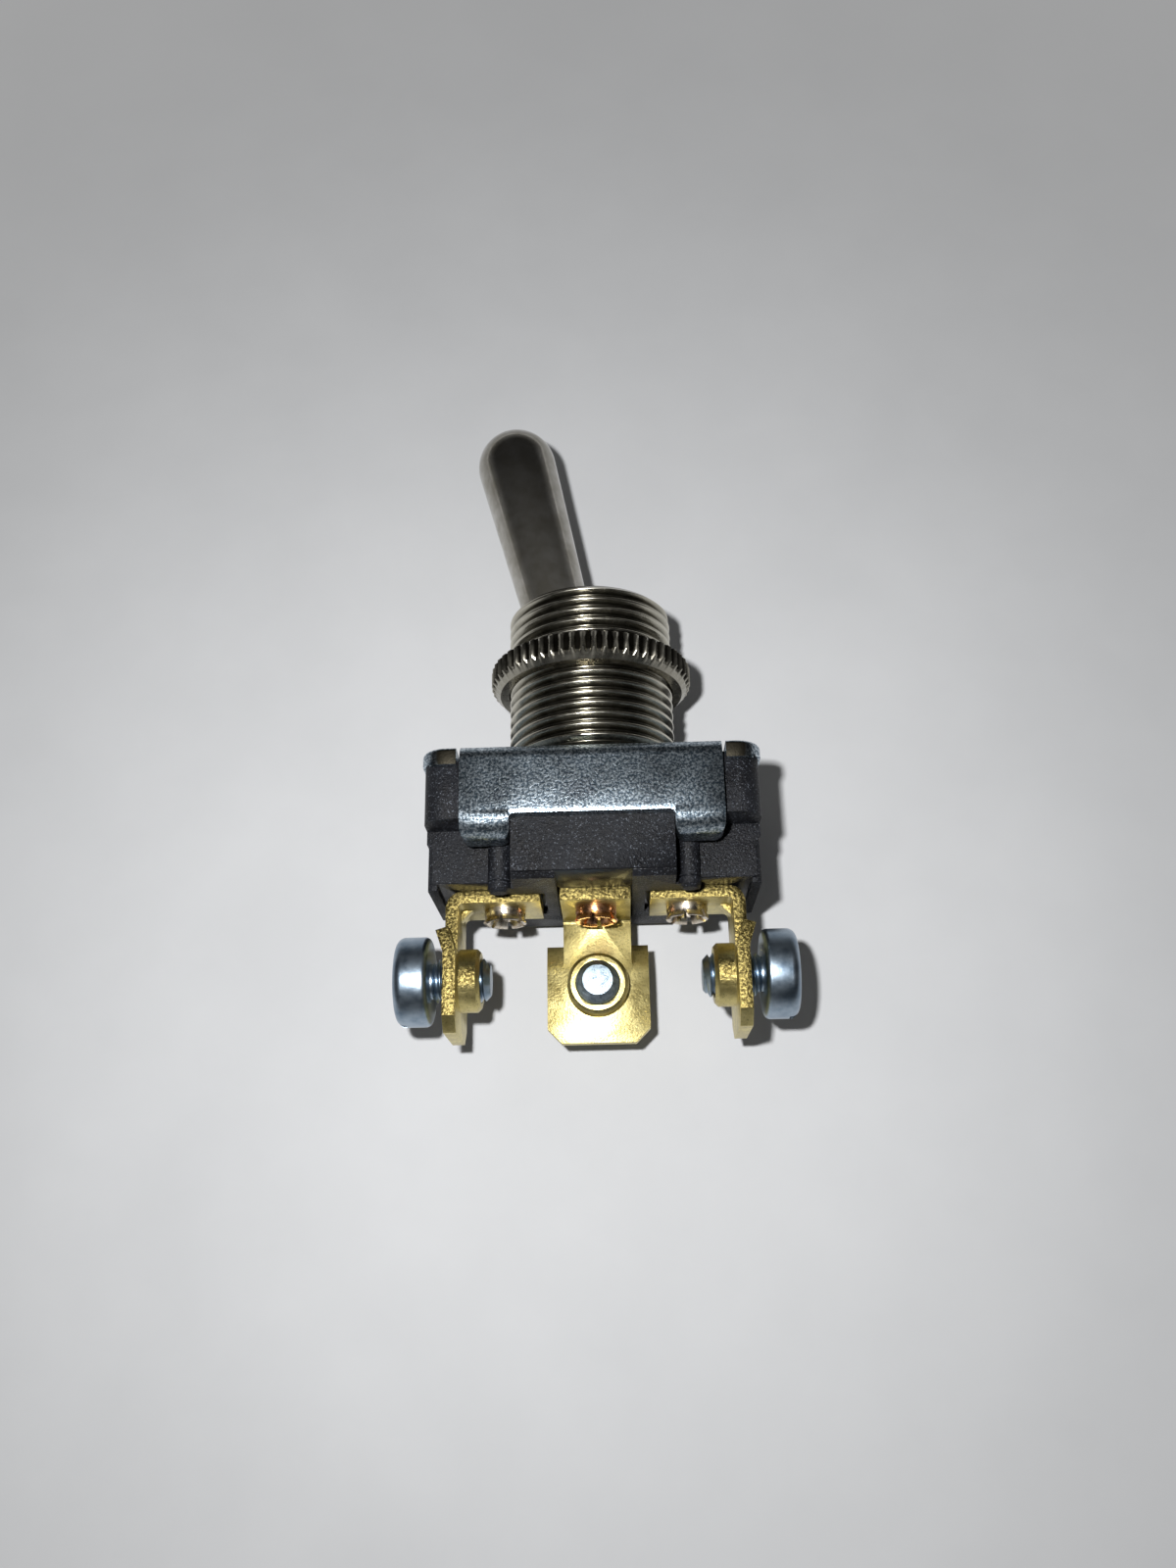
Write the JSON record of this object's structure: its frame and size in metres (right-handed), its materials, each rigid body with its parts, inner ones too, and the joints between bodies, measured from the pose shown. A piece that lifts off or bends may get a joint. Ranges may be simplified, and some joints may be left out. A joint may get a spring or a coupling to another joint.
{
  "type": "toggle switch",
  "caption": "Panel-mount toggle switch with a bat lever, a threaded bushing with a knurled ring nut, a flat-sided case in a folded bracket, and bent screw terminals.",
  "frame": {"origin": "on the bushing axis where the free thread starts, 0.1 mm above the panel face of the ring nut at rest", "axes": "+Y along the bushing axis out of its mouth, towards the lever; X along the case's long side; +Z out of the front flap, which faces up as the switch lies"},
  "size_m": [0.0274, 0.0475, 0.0156],
  "materials": {
    "moulding": "fine grit, moulded",
    "zinc_sheet": "bright zinc plating",
    "nickel": "bright nickel plating",
    "lever_nickel": "polished nickel plating",
    "brass": "rolled and sheared strip",
    "rivet_tin": "tinned brass",
    "rivet_copper": "bare copper",
    "zinc_screw": "blue bright zinc plating",
    "silver": "satin contact silver",
    "steel": "plain steel",
    "fibre": "vulcanised fibre",
    "plunger_moulding": "smooth moulded"
  },
  "bodies": {
    "housing": {"case": "moulding", "bracket": "zinc_sheet", "insulator_sheet": "fibre", "bushing": "nickel", "rocker_saddle": "brass", "fixed_contact_left": "silver", "fixed_contact_right": "silver", "rivet_left": "rivet_tin", "rivet_centre": "rivet_copper", "rivet_right": "rivet_tin", "terminal_left": "brass", "terminal_centre": "brass", "terminal_right": "brass"},
    "toggle": {"lever": "lever_nickel", "pivot_pin": "steel", "plunger": "plunger_moulding", "plunger_spring": "steel"},
    "see_saw": {"contact_rocker": "brass", "moving_contact_left": "silver", "moving_contact_right": "silver"},
    "nut": {"ring_nut": "nickel"},
    "left_clamp": {"screw_left": "zinc_screw"},
    "centre_clamp": {"screw_centre": "zinc_screw"},
    "right_clamp": {"screw_right": "zinc_screw"}
  },
  "joints": [
    {"name": "lever_swing", "type": "hinge", "parent": "housing", "child": "toggle", "pos_m": [0, -0.0057, 0], "axis": [0, 0, -1], "range_deg": [0, 26]},
    {"name": "rocker_swing", "type": "hinge", "parent": "housing", "child": "see_saw", "pos_m": [0, -0.013, 0], "axis": [0, 0, 1], "range_deg": [0, 18]},
    {"name": "ring_nut_travel", "type": "slide", "parent": "housing", "child": "nut", "axis": [0, 1, 0], "range_m": [-0.0053, 0.0039]},
    {"name": "screw_left_travel", "type": "slide", "parent": "housing", "child": "left_clamp", "axis": [-1, 0, 0], "range_m": [-0.001, 0.0015]},
    {"name": "screw_centre_travel", "type": "slide", "parent": "housing", "child": "centre_clamp", "axis": [0, 0, -1], "range_m": [-0.0006, 0.0015]},
    {"name": "screw_right_travel", "type": "slide", "parent": "housing", "child": "right_clamp", "axis": [1, 0, 0], "range_m": [-0.0009, 0.0015]}
  ],
  "couplings": [
    {"joint": "rocker_swing", "follows": "lever_swing", "ratio": 0.69231}
  ]
}
